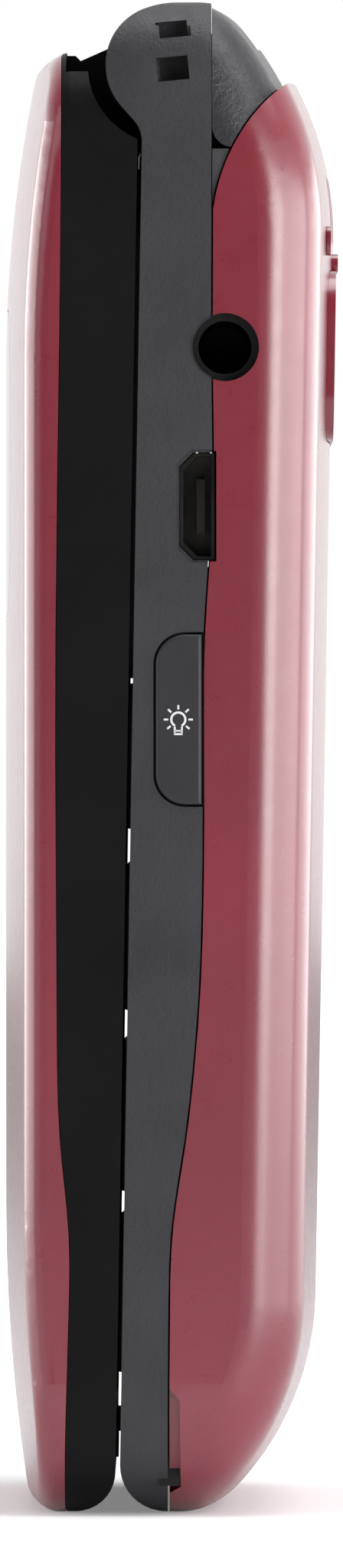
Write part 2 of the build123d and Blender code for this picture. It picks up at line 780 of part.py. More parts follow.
rim_proud = 0.1
assist_rim = (31.0, 11.6, 3.0)
assist_key_size = (26.6, 7.6, 3.4)
assist_gap = 0.3                 # soft key in its rim
assist_s = phone_length - 23.5
camera_place = (12.5 - half_width, phone_length - 14.3)
camera_window_radius = 3.0
speaker_place = (7.0, phone_length - 13.5)
speaker_slot = (4.6, 0.9)
speaker_slots = 5
speaker_pitch = 2.4
nubs = [                     # stand-off nubs: place, size, height over the crown
    ((7.0, phone_length - 17.15), (5.0, 1.5), 0.26),
    ((half_width - 9.1, phone_length - 15.8), (1.6, 2.0), -0.33),
]
nail_notch = [(-1.0, 8.6), (0.0, 8.6), (0.62, 7.9), (0.7, 1.9), (0.0, 1.5), (-1.0, 1.5)]
nail_depth = 0.5
# level where the cover's two lengths meet, below the torch key's flange
cover_joint = torch_key_low[1] - 0.8

with BuildPart() as rear_battery_cover:
    add(base_form)
    add(side_cut(base_seam, cover_gap, 16), mode=Mode.INTERSECT)
    add(under_cover_arc(cover_arc_radius), mode=Mode.INTERSECT)
    add(cover_room, mode=Mode.SUBTRACT)
    for place, size, proud in nubs:
        with BuildSketch(at_depth(base_thickness + proud)):
            with Locations(place):
                RectangleRounded(*size, 0.45 * min(size))
        extrude(amount=shell_wall / 2 + proud)
    with BuildSketch(at_depth(base_thickness + 1)):
        with Locations((0, assist_s)):
            wide, high, corner = assist_rim
            RectangleRounded(wide + 2 * window_gap, high + 2 * window_gap, corner + window_gap)
        with Locations(camera_place):
            Circle(camera_window_radius + window_gap)
        with Locations(speaker_place):
            with GridLocations(speaker_pitch, 0, speaker_slots, 1):
                SlotOverall(*speaker_slot, rotation=90)
    extrude(amount=4 * shell_wall, mode=Mode.SUBTRACT)
    with BuildSketch(side_tool(1, 2 * shell_wall)):
        add(usb_outline(0.08))
        with Locations(jack_place):
            Circle(jack_mouth + 0.1)
    extrude(amount=3 * shell_wall, mode=Mode.SUBTRACT)
    # fingernail notch beside the foot
    with BuildSketch(Plane.YZ):
        with BuildLine():
            Polyline(*nail_notch, close=True)
        make_face()
    notch = extrude(amount=half_width, mode=Mode.PRIVATE)
    inner = phone_width - 2 * nail_depth
    low = low_corner - nail_depth
    core = plan_prism(inner, nail_depth, phone_length, low, base_top_corner - nail_depth)
    add(notch - core, mode=Mode.SUBTRACT)
    split(bisect_by=Plane.XY.offset(cover_joint), keep=Keep.BOTH)
save(rear_battery_cover, "rear_battery_cover")

with BuildPart() as assistance_rim:
    with BuildSketch(at_depth(base_thickness + rim_proud)):
        with Locations((0, assist_s)):
            RectangleRounded(*assist_rim)
            wide, high, corner = assist_key_size
            grown = (wide + 2 * assist_gap, high + 2 * assist_gap, corner + assist_gap)
            RectangleRounded(*grown, mode=Mode.SUBTRACT)
    extrude(amount=shell_wall + rim_proud)
    split(bisect_by=Plane.YZ, keep=Keep.BOTH)
save(assistance_rim, "assistance_rim")

torch_place = (6.1 - half_width, phone_length - 3.9)     # across, up
torch_lens_radius = 1.7
torch_seat_depth = base_thickness - 6.48     # foot of the lens, into the base
torch_lean = 37.0                # of the top cover there, degrees
led = (2.4, 2.4, 1.0)

torch_axis = Plane(
    origin=(torch_place[0], face_y(torch_place[1]) + torch_seat_depth, torch_place[1]),
    x_dir=(1, 0, 0),
    z_dir=(0, cos(radians(torch_lean)), sin(radians(torch_lean))),
)
top_form = base_form.moved(Location((0, -top_cover_sink, 0)))

with BuildPart() as top_rear_cover:
    add(top_form)
    with BuildSketch(Plane.YZ) as side:
        with BuildLine():
            low = (seam_y + seam_gap, top_cover_foot)
            Polyline(low, (low[0] + 14, low[1]), (low[0] + 14, low[1] + 14), (low[0], low[1] + 14), low)
        make_face()
        fillet(near(side, low), top_cover_corner)
    extrude(amount=half_width + 1, both=True, mode=Mode.INTERSECT)
    add(under_cover_arc(cover_arc_radius + cover_gap), mode=Mode.SUBTRACT)
    add(trough, mode=Mode.SUBTRACT)
    with BuildSketch(torch_axis):
        Circle(torch_lens_radius + window_gap)
    extrude(amount=4, mode=Mode.SUBTRACT)
    with BuildSketch(torch_axis):
        Rectangle(led[0] + 2 * window_gap, led[1] + 2 * window_gap)
    extrude(amount=-led[2], mode=Mode.SUBTRACT)
save(top_rear_cover, "top_rear_cover")

with BuildPart() as torch_lens:
    with BuildSketch(torch_axis):
        Circle(torch_lens_radius)
    extrude(amount=4)
    add(top_form, mode=Mode.INTERSECT)
save(torch_lens, "torch_lens")

with BuildPart() as torch_led:
    with BuildSketch(torch_axis):
        RectangleRounded(led[0], led[1], 0.3)
    extrude(amount=-led[2])
save(torch_led, "torch_led")

camera_window_back = base_thickness - 1.2
with BuildPart() as camera_window:
    with BuildSketch(at_depth(camera_window_back)):
        with Locations(camera_place):
            Circle(camera_window_radius)
    extrude(amount=-2 * shell_wall)
    add(base_form, mode=Mode.INTERSECT)
save(camera_window, "camera_window")

# ------------------------------------------------------------------ keys on the face
key_edge = 0.25
flange_clear = 0.03
flange_thickness = 0.4
flange_rim = 0.5
key_travel = 0.3
for name, x, s, (wide, high, corner), proud in face_keys:
    with BuildPart() as face_key:
        with BuildSketch(at_depth(-proud)):
            with Locations((x, s)):
                RectangleRounded(wide, high, corner)
        extrude(amount=-(proud + front_wall + flange_clear))
        fillet(face_key.faces().sort_by(Axis.Y)[0].edges(), key_edge)
        with BuildSketch(at_depth(front_wall + flange_clear)):
            with Locations((x, s)):
                RectangleRounded(wide + 2 * flange_rim, high + 2 * flange_rim, corner)
        extrude(amount=-flange_thickness)
    save(face_key, name)

nav_pivot_radius = 0.28
nav_pivot_reach = 0.7            # each trunnion beyond the rocker's side
nav_pivot_depth = front_wall + nav_pivot_radius + 0.05
with BuildPart() as nav_rocker:
    with BuildSketch(at_depth(-function_proud)):
        with Locations((0, nav_s)):
            RectangleRounded(*nav_size)
    extrude(amount=-(function_proud + front_wall + flange_thickness))
    fillet(nav_rocker.faces().sort_by(Axis.Y)[0].edges(), key_edge)
    # groove round the centre of the rocker
    with BuildSketch(at_depth(-function_proud)):
        with Locations((0, nav_s)):
            RectangleRounded(8.4, 9.4, 2.6)
            RectangleRounded(7.8, 8.8, 2.3, mode=Mode.SUBTRACT)
    extrude(amount=-0.25, mode=Mode.SUBTRACT)
    pivot_centre = at_depth(nav_pivot_depth).from_local_coords((0, nav_s))
    pivot_plane = Plane(origin=pivot_centre, x_dir=(0, 1, 0), z_dir=(1, 0, 0))
    with BuildSketch(pivot_plane):
        Circle(nav_pivot_radius)
    extrude(amount=nav_size[0] / 2 + nav_pivot_reach, both=True)
save(nav_rocker, "nav_rocker")

# ------------------------------------------------------------------ keys on the sides and back
side_proud = 0.25
side_flange = (1.4, 2.3)         # inner and outer face of a flange, in from the side
with BuildPart() as torch_key:
    with BuildSketch(side_tool(1, side_flange[1])):
        add(torch_outline(0))
    extrude(amount=side_flange[1] + side_proud)
    fillet(torch_key.faces().sort_by(Axis.X)[-1].edges(), key_edge)
    low_y = torch_key_low[0] - flange_rim / 2
    high_y = torch_key_high[0] + flange_rim / 2
    with BuildSketch(side_tool(1, side_flange[1])):
        with Locations(((low_y + high_y) / 2, (torch_key_low[1] + torch_key_high[1]) / 2)):
            flange_length = torch_key_high[1] - torch_key_low[1] + 2 * flange_rim
            RectangleRounded(high_y - low_y, flange_length, 0.8)
    extrude(amount=side_flange[1] - side_flange[0])
save(torch_key, "torch_key")

volume_pivot_radius = 0.28
volume_pivot_in = 1.9            # pivot axis, in from the side
volume_nub_pitch = 5.5
with BuildPart() as volume_rocker:
    with BuildSketch(side_tool(-1, 1.6)):
        with Locations(volume_centre):
            RectangleRounded(*volume_size, 0.49 * volume_size[0])
    extrude(amount=-(1.6 + side_proud))
    fillet(volume_rocker.faces().sort_by(Axis.X)[0].edges(), key_edge)
    with BuildSketch(side_tool(-1, 1.6)):
        with Locations(volume_centre):
            Rectangle(volume_size[0], 3.0)
            with Locations((0, -volume_nub_pitch), (0, volume_nub_pitch)):
                Rectangle(1.6, 1.6)
    extrude(amount=0.7)
    volume_pivot_plane = Plane.XZ.offset(-volume_centre[0])
    with BuildSketch(volume_pivot_plane):
        with Locations((volume_pivot_in - half_width, volume_centre[1])):
            Circle(volume_pivot_radius)
    extrude(amount=volume_size[0] / 2 + 0.45, both=True)
save(volume_rocker, "volume_rocker")

assist_proud = rim_proud
assist_flange_depth = base_thickness - shell_wall - 0.43
assist_flange = 0.5
sub_board_depth = chassis_depth + chassis_plate + 0.05
sub_board_thickness = 0.8
switch_height = 1.5
with BuildPart() as assistance_key:
    with BuildSketch(at_depth(base_thickness + assist_proud)):
        with Locations((0, assist_s)):
            RectangleRounded(*assist_key_size)
    extrude(amount=base_thickness + assist_proud - assist_flange_depth)
    fillet(assistance_key.faces().sort_by(Axis.Y)[-1].edges(), key_edge)
    with BuildSketch(at_depth(assist_flange_depth)):
        with Locations((0, assist_s)):
            wide, high, corner = assist_key_size
            RectangleRounded(wide + 1.2, high + 1.2, corner)
    extrude(amount=assist_flange)
    plunger = assist_flange_depth - assist_flange - sub_board_depth - sub_board_thickness
    with BuildSketch(at_depth(assist_flange_depth - assist_flange)):
        with Locations((0, assist_s)):
            Circle(1.2)
    extrude(amount=plunger - switch_height - key_travel - 0.05)
save(assistance_key, "assistance_key")

# ------------------------------------------------------------------ boards and what they carry
dome_depth = front_wall + flange_clear + flange_thickness + key_travel + 0.04
dome_sheet = 0.2
board_depth = dome_depth + dome_sheet
board_thickness = 0.8
board_back = board_depth + board_thickness
battery_foot = 13.0
battery_size = (34.0, phone_length - 48.5, 4.9)
battery_place = (0.0, battery_foot + battery_size[1] / 2)
sim_place = (-8.0, battery_place[1])
sim_size = (16.0, 13.6, 1.4)
shield_height = 1.4
shield_cans = [
    ((-9.0, sim_place[1] - 17.0), (24.0, 18.0)),
    ((10.0, 0.546 * phone_length), (18.0, 14.0)),
    ((-11.0, 0.585 * phone_length), (11.0, 10.0)),
]
with BuildPart() as keypad_dome_sheet:
    with BuildSketch(at_depth(dome_depth)):
        with Locations((0, (phone_length - 7.5) / 2)):
            RectangleRounded(phone_width - 7.0, phone_length - 24.5, 3.0)
        with Locations(*post_places):
            Circle(post_radius + 0.2, mode=Mode.SUBTRACT)
    extrude(amount=-dome_sheet)
save(keypad_dome_sheet, "keypad_dome_sheet")

with BuildPart() as main_circuit_board:
    with BuildSketch(at_depth(board_depth)):
        with Locations((0, (phone_length - 8.1) / 2)):
            RectangleRounded(phone_width - 6.0, phone_length - 14.1, 6.0)
        with Locations(*post_places):
            Circle(post_radius + 0.2, mode=Mode.SUBTRACT)
    extrude(amount=-board_thickness)
    # shielded circuits on the back of the board
    with BuildSketch(at_depth(board_back)):
        for place, size in shield_cans:
            with Locations(place):
                RectangleRounded(*size, 0.8)
    extrude(amount=-shield_height)
save(main_circuit_board, "main_circuit_board")

with BuildPart() as microphone:
    with BuildSketch(at_depth(front_wall + 0.02)):
        with Locations(mic_place):
            Circle(1.9)
    extrude(amount=-(board_depth - front_wall - 0.02))
save(microphone, "microphone")

with BuildPart() as sim_holder:
    with BuildSketch(at_depth(board_back)):
        with Locations(sim_place):
            RectangleRounded(sim_size[0], sim_size[1], 0.8)
    extrude(amount=-sim_size[2])
    with BuildSketch(at_depth(board_back + sim_size[2])):
        with Locations(sim_place):
            RectangleRounded(sim_size[0] - 3, sim_size[1] - 3, 0.8)
    extrude(amount=0.5, mode=Mode.SUBTRACT)
save(sim_holder, "sim_holder")

battery_depth = chassis_depth + chassis_plate + 0.05
contact_place = (0.0, battery_place[1] + battery_size[1] / 2 + 1.7)
contact_block = (10.0, 3.0)
battery = slab(at_depth(battery_depth), battery_place, battery_size[:2], battery_size[2], 1.6)
save(battery, "battery")

with BuildPart() as battery_contacts:
    with BuildSketch(at_depth(board_back)):
        with Locations(contact_place):
            Rectangle(*contact_block)
    extrude(amount=-(battery_depth + 3.1 - board_back))
    # three spring blades, out from the block to the battery
    with BuildSketch(at_depth(battery_depth + 2.4)):
        with Locations(contact_place):
            with Locations((-3, 0), (0, 0), (3, 0)):
                Rectangle(1.2, contact_block[1] + 0.36)
    extrude(amount=1.6)
save(battery_contacts, "battery_contacts")

socket_box = (14.4, 7.2)
socket_depths = (board_back, chassis_depth + chassis_plate + 1.9)
socket_bore = 1.8
socket_bore_length = 13.8
with BuildPart() as headset_socket:
    with BuildSketch(at_depth(socket_depths[0])):
        with Locations((side_wall_x - 0.1 - socket_box[0] / 2, jack_place[1])):
            RectangleRounded(*socket_box, 0.8)
    extrude(amount=-(socket_depths[1] - socket_depths[0]))
    with BuildSketch(Plane.YZ.offset(side_wall_x - 0.1)):
        with Locations(jack_place):
            Circle(socket_bore)
    extrude(amount=-socket_bore_length, mode=Mode.SUBTRACT)
save(headset_socket, "headset_socket")

usb_depth = 5.2
usb_metal = 0.22
with BuildPart() as usb_receptacle:
    usb_face = Plane.YZ.offset(side_wall_x - 0.1)
    with BuildSketch(usb_face):
        add(usb_outline(-0.05))
    extrude(amount=-usb_depth)
    with BuildSketch(usb_face):
        add(usb_outline(-0.05 - usb_metal))
    extrude(amount=-(usb_depth - 0.6), mode=Mode.SUBTRACT)
    with BuildSketch(Plane.YZ.offset(side_wall_x - 0.1 - usb_depth)):
        with Locations((usb_low[0] + 1.45, usb_mid_z)):
            Rectangle(0.55, 3.7)
    extrude(amount=usb_depth - 0.8)
save(usb_receptacle, "usb_receptacle")

side_switch = (1.5, 3.0, 1.6)    # across, up, thick
side_switch_x = half_width - side_flange[1] - key_travel - 0.08 - side_switch[0] / 2
side_switch_places = [
    (side_switch_x, (torch_key_low[1] + torch_key_high[1]) / 2),
    (-side_switch_x, volume_centre[1] - volume_nub_pitch),
    (-side_switch_x, volume_centre[1] + volume_nub_pitch),
]
with BuildPart() as side_switches:
    with BuildSketch(at_depth(board_back)):
        with Locations(*side_switch_places):
            Rectangle(side_switch[0], side_switch[1])
    extrude(amount=-side_switch[2])
save(side_switches, "side_switches")

# ------------------------------------------------------------------ chassis and what it carries
chassis_gap = 0.2
chassis_top = top_cover_foot - 0.1
rim_thickness = 1.6
rim_height = 3.0
with BuildPart() as base_chassis:
    chassis_width = 2 * (side_wall_x - chassis_gap)
    with BuildSketch(at_depth(chassis_depth + chassis_plate)):
        with Locations((0, phone_length / 2)):
            Rectangle(phone_width, phone_length)
    extrude(amount=chassis_plate)
    add(plan_prism(chassis_width, 3.0, chassis_top, 6.5, 0.8), mode=Mode.INTERSECT)
    # fence round the battery
    with BuildSketch(at_depth(chassis_depth + chassis_plate / 2)):
        with Locations(battery_place):
            grown = [size + 0.4 + 2 * rim_thickness for size in battery_size[:2]]
            RectangleRounded(*grown, 2.6)
            inner = [size + 0.4 for size in battery_size[:2]]
            RectangleRounded(*inner, 1.8, mode=Mode.SUBTRACT)
    extrude(amount=-(rim_height + chassis_plate / 2))
    # ledges that fill the step beside the top cover's foot
    for way in (-1, 1):
        ledge_plane = Plane.YZ.offset(way * (side_wall_x - 0.8))
        with BuildSketch(ledge_plane):
            with Locations((seam_y + seam_gap + 1.5, (cover_arc_z + 1 + chassis_top) / 2)):
                Rectangle(3.0, chassis_top - cover_arc_z - 1)
            with Locations((seam_y + cover_arc_radius, cover_arc_z)):
                Circle(cover_arc_radius + cover_gap, mode=Mode.SUBTRACT)
        extrude(amount=way * (0.8 + shell_wall - 0.35))
    # openings: headset socket, charging socket, SIM holder, battery contacts, screws
    with BuildSketch(at_depth(chassis_depth + 2 * rim_height)):
        with Locations((side_wall_x, jack_place[1])):
            Rectangle(2 * socket_box[0] + 0.8, socket_box[1] + 0.6)
        with Locations((side_wall_x, usb_mid_z)):
            Rectangle(2 * usb_depth + 1.2, usb_high[1] - usb_low[1] + 0.8)
        with Locations(sim_place):
            RectangleRounded(sim_size[0] + 1, sim_size[1] + 1, 1.0)
        with Locations(contact_place):
            Rectangle(contact_block[0] + 0.6, contact_block[1] + 0.6)
        with Locations(*post_places):
            Circle(0.8)
    extrude(amount=3 * rim_height, mode=Mode.SUBTRACT)
save(base_chassis, "base_chassis")

sub_board_left = 10.3 - half_width
sub_board_right = side_wall_x - 0.1 - socket_box[0] - 1.0
sub_board_foot = contact_place[1] + contact_block[1] / 2 + 2.4
sub_board_top = phone_length - 18.5
with BuildPart() as rear_sub_board:
    with BuildSketch(at_depth(sub_board_depth)):
        middle = ((sub_board_left + sub_board_right) / 2, (sub_board_foot + sub_board_top) / 2)
        with Locations(middle):
            RectangleRounded(sub_board_right - sub_board_left, sub_board_top - sub_board_foot, 1.0)
    extrude(amount=-sub_board_thickness)
    with BuildSketch(at_depth(sub_board_depth + sub_board_thickness)):
        with Locations((0, assist_s)):
            Rectangle(4.0, 4.0)
    extrude(amount=-switch_height)
save(rear_sub_board, "rear_sub_board")

component_depth = chassis_depth + chassis_plate + 0.05
speaker_box = (22.0, 7.4)
loudspeaker = slab(at_depth(component_depth), (6.0, phone_length - 14.3), speaker_box, 4.5, 1.5)
save(loudspeaker, "loudspeaker")

with BuildPart() as camera_module:
    with BuildSketch(at_depth(component_depth)):
        with Locations(camera_place):
            RectangleRounded(7.8, 7.8, 0.8)
    extrude(amount=-3.6)
    with BuildSketch(at_depth(component_depth + 3.6)):
        with Locations(camera_place):
            Circle(2.7)
    extrude(amount=-1.3)
save(camera_module, "camera_module")

motor_radius = 2.1
motor_x = 5.7 - side_wall_x
motor_foot = phone_length - 33.5
motor_length = 8.0
motor_y = face_y(motor_foot) + component_depth + motor_radius + 0.15
with BuildPart() as vibration_motor:
    with BuildSketch(Plane(origin=(motor_x, motor_y, motor_foot))):
        Circle(motor_radius)
    extrude(amount=motor_length)
    with BuildSketch(Plane(origin=(motor_x, motor_y, motor_foot + motor_length))):
        Circle(0.5)
    extrude(amount=0.6)
    with BuildSketch(Plane(origin=(motor_x, motor_y, motor_foot + motor_length + 0.6))):
        Circle(motor_radius - 0.1)
        with Locations((0, -motor_radius)):
            Rectangle(3 * motor_radius, 2 * motor_radius, mode=Mode.SUBTRACT)
    extrude(amount=3.2)
save(vibration_motor, "vibration_motor")

antenna_foot = 4.6
antenna_top = battery_foot - rim_thickness - 0.6
antenna_size = (34.0, antenna_top - antenna_foot)
antenna_place = (0, (antenna_foot + antenna_top) / 2)
antenna = slab(at_depth(component_depth), antenna_place, antenna_size, 1.6, 1.5)
save(antenna, "antenna")

head_radius = 1.35
head_height = 0.9
with BuildPart() as housing_screws:
    with BuildSketch(at_depth(chassis_depth + chassis_plate)):
        with Locations(*post_places):
            Circle(head_radius)
    extrude(amount=-head_height)
    with BuildSketch(at_depth(chassis_depth + chassis_plate)):
        with Locations(*post_places):
            Circle(post_pilot)
    extrude(amount=chassis_plate + 3.2)
    with BuildSketch(at_depth(chassis_depth + chassis_plate + head_height)):
        with Locations(*post_places):
            Rectangle(1.5, 0.35)
            Rectangle(0.35, 1.5)
    extrude(amount=0.4, mode=Mode.SUBTRACT)
save(housing_screws, "housing_screws")

with BuildPart() as hinge_cam_module:
    add(round_hinge(cam_radius, -middle_half - 6.3, -cam_reach - 0.5))
save(hinge_cam_module, "hinge_cam_module")

with BuildPart() as hinge_pin:
    add(round_hinge(pin_radius, pin_reach + 0.5, middle_half + 5.8))
save(hinge_pin, "hinge_pin")
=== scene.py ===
import math

import bmesh
import bpy
from mathutils import Matrix, Vector


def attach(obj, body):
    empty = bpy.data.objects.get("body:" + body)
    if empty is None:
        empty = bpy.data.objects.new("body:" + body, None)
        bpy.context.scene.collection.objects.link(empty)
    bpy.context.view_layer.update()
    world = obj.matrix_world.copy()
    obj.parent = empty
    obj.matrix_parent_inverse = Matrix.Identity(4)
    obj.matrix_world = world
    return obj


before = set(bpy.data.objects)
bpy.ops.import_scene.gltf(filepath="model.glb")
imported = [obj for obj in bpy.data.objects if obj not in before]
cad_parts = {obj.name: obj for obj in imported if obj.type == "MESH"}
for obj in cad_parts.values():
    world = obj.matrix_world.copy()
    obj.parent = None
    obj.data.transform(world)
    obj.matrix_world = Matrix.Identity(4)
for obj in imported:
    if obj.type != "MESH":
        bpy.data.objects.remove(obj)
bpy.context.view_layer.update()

MM = 0.001
scene = bpy.context.scene

# ------------------------------------------------------------------ sizes shared with the CAD, mm
HALF_WIDTH = 26.5
TILT = math.radians(0.95)
FACE_FOOT_Y = -3.47
DIGIT_PROUD = 0.3
FUNCTION_PROUD = 0.4
ROW_PITCH = 12.3
COLUMN_PITCH = 15.6
TOP_ROW = 51.4
SIDE_COLUMN = 16.4
SOFT_ROW = 80.6
CALL_ROW = 68.6
NAV_ROW = 74.8
SIDE_PROUD = 0.25
USB_LOW_Y = 0.6
USB_MIDDLE_Z = 68.25
TONGUE_MIDDLE = 1.45
TONGUE_THICK = 0.55


def srgb(red, green, blue):
    """Linear colour of an sRGB triple from 0 to 255."""
    out = []
    for value in (red, green, blue):
        c = value / 255
        out.append(c / 12.92 if c <= 0.04045 else ((c + 0.055) / 1.055) ** 2.4)
    return (*out, 1.0)


# ------------------------------------------------------------------ materials
class Shader:
    """A Principled material with helpers for its procedural nodes."""

    def __init__(self, name):
        self.material = bpy.data.materials.new(name)
        self.material.use_nodes = True
        self.tree = self.material.node_tree
        self.bsdf = self.tree.nodes["Principled BSDF"]
        self.coords = self.tree.nodes.new("ShaderNodeTexCoord").outputs["Object"]

    def set(self, key, value):
        """A uniform value, straight on the shader's socket."""
        self.bsdf.inputs[key].default_value = value

    def link(self, source, target):
        self.tree.links.new(source, target)

    def noise(self, scale, detail=2.0, rough=0.5):
        """Soft noise, with its scale per metre."""
        node = self.tree.nodes.new("ShaderNodeTexNoise")
        node.inputs["Scale"].default_value = scale
        node.inputs["Detail"].default_value = detail
        node.inputs["Roughness"].default_value = rough
        self.link(self.coords, node.inputs["Vector"])
        return node.outputs["Fac"]

    def cells(self, scale):
        """Cells, as the distance from each one's middle."""
        node = self.tree.nodes.new("ShaderNodeTexVoronoi")
        node.inputs["Scale"].default_value = scale
        self.link(self.coords, node.inputs["Vector"])
        return node.outputs["Distance"]

    def wave(self, scale, axis, distortion=0.0):
        """Bands across an axis."""
        node = self.tree.nodes.new("ShaderNodeTexWave")
        node.bands_direction = axis
        node.inputs["Scale"].default_value = scale
        node.inputs["Distortion"].default_value = distortion
        self.link(self.coords, node.inputs["Vector"])
        return node.outputs["Fac"]

    def spread(self, source, low, high, start=0.3, end=0.7):
        """The source mapped from start..end to low..high."""
        node = self.tree.nodes.new("ShaderNodeMapRange")
        node.inputs["From Min"].default_value = start
        node.inputs["From Max"].default_value = end
        node.inputs["To Min"].default_value = low
        node.inputs["To Max"].default_value = high
        self.link(source, node.inputs["Value"])
        return node.outputs["Result"]

    def add(self, first, second, weight):
        """first + weight * second."""
        node = self.tree.nodes.new("ShaderNodeMath")
        node.operation = "MULTIPLY_ADD"
        self.link(second, node.inputs[0])
        node.inputs[1].default_value = weight
        self.link(first, node.inputs[2])
        return node.outputs["Value"]

    def colours(self, source, first, second, start=0.35, end=0.65):
        """Base colour between two colours."""
        node = self.tree.nodes.new("ShaderNodeValToRGB")
        node.color_ramp.elements[0].position = start
        node.color_ramp.elements[0].color = first
        node.color_ramp.elements[1].position = end
        node.color_ramp.elements[1].color = second
        self.link(source, node.inputs["Fac"])
        self.link(node.outputs["Color"], self.bsdf.inputs["Base Color"])

    def rough(self, source, low, high):
        """Roughness that wanders between two values."""
        self.link(self.spread(source, low, high), self.bsdf.inputs["Roughness"])

    def bump(self, source, depth_mm, strength=1.0):
        """Relief of that depth in mm."""
        node = self.tree.nodes.new("ShaderNodeBump")
        node.inputs["Strength"].default_value = strength
        node.inputs["Distance"].default_value = depth_mm * MM
        self.link(source, node.inputs["Height"])
        self.link(node.outputs["Normal"], self.bsdf.inputs["Normal"])


def moulded(name, colour, lighter, grain, depth, rough, level, size=4200):
    """Moulded plastic with a spark-eroded grain of that depth in mm."""
    s = Shader(name)
    fine = s.noise(size, 3.0, 0.6)
    broad = s.noise(size * 0.33, 1.0)
    clouds = s.noise(120, 2.0)
    s.colours(s.add(clouds, fine, grain), colour, lighter, 0.4, 0.4 + 0.5 * (1 + grain))
    s.rough(s.noise(900, 2.0), rough - 0.04, rough + 0.05)
    s.bump(s.add(fine, broad, 0.6), depth)
    s.set("Specular IOR Level", level)
    return s.material


def lacquer(name, colour, lighter):
    """Pearly red lacquer over a finely grained shell."""
    s = Shader(name)
    flake = s.cells(5200)
    fine = s.noise(5200, 2.0, 0.55)
    broad = s.noise(1500, 1.0)
    clouds = s.noise(60, 1.0)
    s.colours(s.add(clouds, flake, 0.25), colour, lighter, 0.4, 0.85)
    s.rough(s.noise(700, 2.0), 0.27, 0.33)
    s.bump(s.add(fine, broad, 0.7), 0.007)
    s.set("Specular IOR Level", 0.6)
    s.set("Coat Weight", 1.0)
    s.set("Coat Roughness", 0.20)
    return s.material


def metal(name, colour, brushed="Z", rough=0.34):
    """Rolled or plated metal with a fine brushed line."""
    s = Shader(name)
    lines = s.wave(2600, brushed, 6.0)
    blur = s.noise(300, 2.0)
    dark = [0.82 * c for c in colour[:3]] + [1.0]
    s.colours(s.add(blur, lines, 0.2), dark, colour, 0.3, 0.8)
    s.rough(blur, rough - 0.06, rough + 0.08)
    s.bump(lines, 0.004, 0.5)
    s.set("Metallic", 1.0)
    return s.material


def clear(name, colour, through, rough=0.04):
    """Moulded window: mostly clear, with faint flow marks."""
    s = Shader(name)
    flow = s.noise(90, 1.0)
    s.colours(flow, colour, [min(1.0, 1.12 * c) for c in colour[:3]] + [1.0])
    s.rough(s.noise(500, 2.0), rough, rough + 0.03)
    s.bump(flow, 0.004, 0.3)
    s.set("Transmission Weight", through)
    s.set("IOR", 1.49)
    return s.material


def board(name):
    """Circuit board: green solder resist with copper tracks faintly showing."""
    s = Shader(name)
    tracks = s.cells(520)
    s.colours(tracks, srgb(16, 74, 40), srgb(34, 110, 62), 0.2, 0.7)
    s.rough(s.noise(400, 2.0), 0.32, 0.45)
    s.bump(tracks, 0.02)
    return s.material


# plastics: two colours, then the grain's weight and depth, roughness and specular level
red = lacquer("red_lacquer", srgb(122, 31, 46), srgb(134, 36, 53))
assist_red = lacquer("assist_red_lacquer", srgb(126, 34, 48), srgb(140, 41, 58))
housing = moulded("housing_grain", srgb(46, 46, 49), srgb(60, 59, 64), 0.35, 0.050, 0.50, 0.40)
frame_black = moulded("lid_frame_black", srgb(13, 13, 14), srgb(19, 19, 21), 0.2, 0.014, 0.50, 0.12)
top_black = moulded("top_cover_black", srgb(36, 36, 40), srgb(48, 48, 53), 0.3, 0.045, 0.34, 0.60)
key_face = moulded("key_face", srgb(58, 58, 62), srgb(70, 70, 75), 0.15, 0.006, 0.40, 0.50)
side_key = moulded("side_key_face", srgb(44, 44, 47), srgb(52, 52, 56), 0.1, 0.006, 0.44, 0.40)
nav_face = moulded("nav_face", srgb(86, 86, 92), srgb(104, 104, 110), 0.1, 0.004, 0.30, 0.55)
chassis = moulded("chassis_nylon", srgb(66, 66, 68), srgb(82, 82, 84), 0.4, 0.03, 0.6, 0.4)
speaker = moulded("speaker_black", srgb(30, 30, 31), srgb(42, 42, 44), 0.3, 0.01, 0.5, 0.4)
socket_black = moulded("socket_black", srgb(16, 16, 17), srgb(24, 24, 26), 0.2, 0.006, 0.5, 0.3)
rubber = moulded("soft_rubber", srgb(24, 24, 25), srgb(34, 34, 35), 0.3, 0.012, 0.75, 0.3)
carrier = moulded("carrier_white", srgb(196, 196, 190), srgb(212, 212, 206), 0.2, 0.01, 0.5, 0.5)
film = moulded("dome_film", srgb(176, 180, 186), srgb(196, 200, 206), 0.2, 0.01, 0.35, 0.5)
flex = moulded("flex_film", srgb(170, 104, 38), srgb(196, 128, 56), 0.2, 0.006, 0.35, 0.5)
antenna_tan = moulded("antenna_carrier", srgb(160, 142, 106), srgb(182, 164, 126), 0.2, 0.008, 0.4, 0.5)
wrap = moulded("battery_wrap", srgb(112, 114, 118), srgb(128, 130, 134), 0.2, 0.008, 0.4, 0.5, 900)
led_gel = moulded("led_phosphor", srgb(226, 214, 110), srgb(240, 230, 140), 0.2, 0.005, 0.4, 0.5)
panel = moulded("display_panel", srgb(12, 13, 16), srgb(17, 18, 22), 0.1, 0.001, 0.12, 0.5)
mesh_cloth = Shader("earpiece_cloth")
weave = mesh_cloth.add(mesh_cloth.wave(1600, "X"), mesh_cloth.wave(1600, "Z"), 1.0)
mesh_cloth.colours(weave, srgb(10, 10, 11), srgb(54, 54, 58), 0.6, 1.5)
mesh_cloth.bump(weave, 0.03)
mesh_cloth.set("Roughness", 0.8)
steel = metal("rolled_steel", srgb(172, 172, 174))
screw_steel = metal("blackened_steel", srgb(92, 92, 95), rough=0.42)
pin_steel = metal("ground_steel", srgb(186, 186, 188), "X", 0.25)
socket_metal = metal("plated_shell", srgb(70, 68, 66), "X", 0.3)
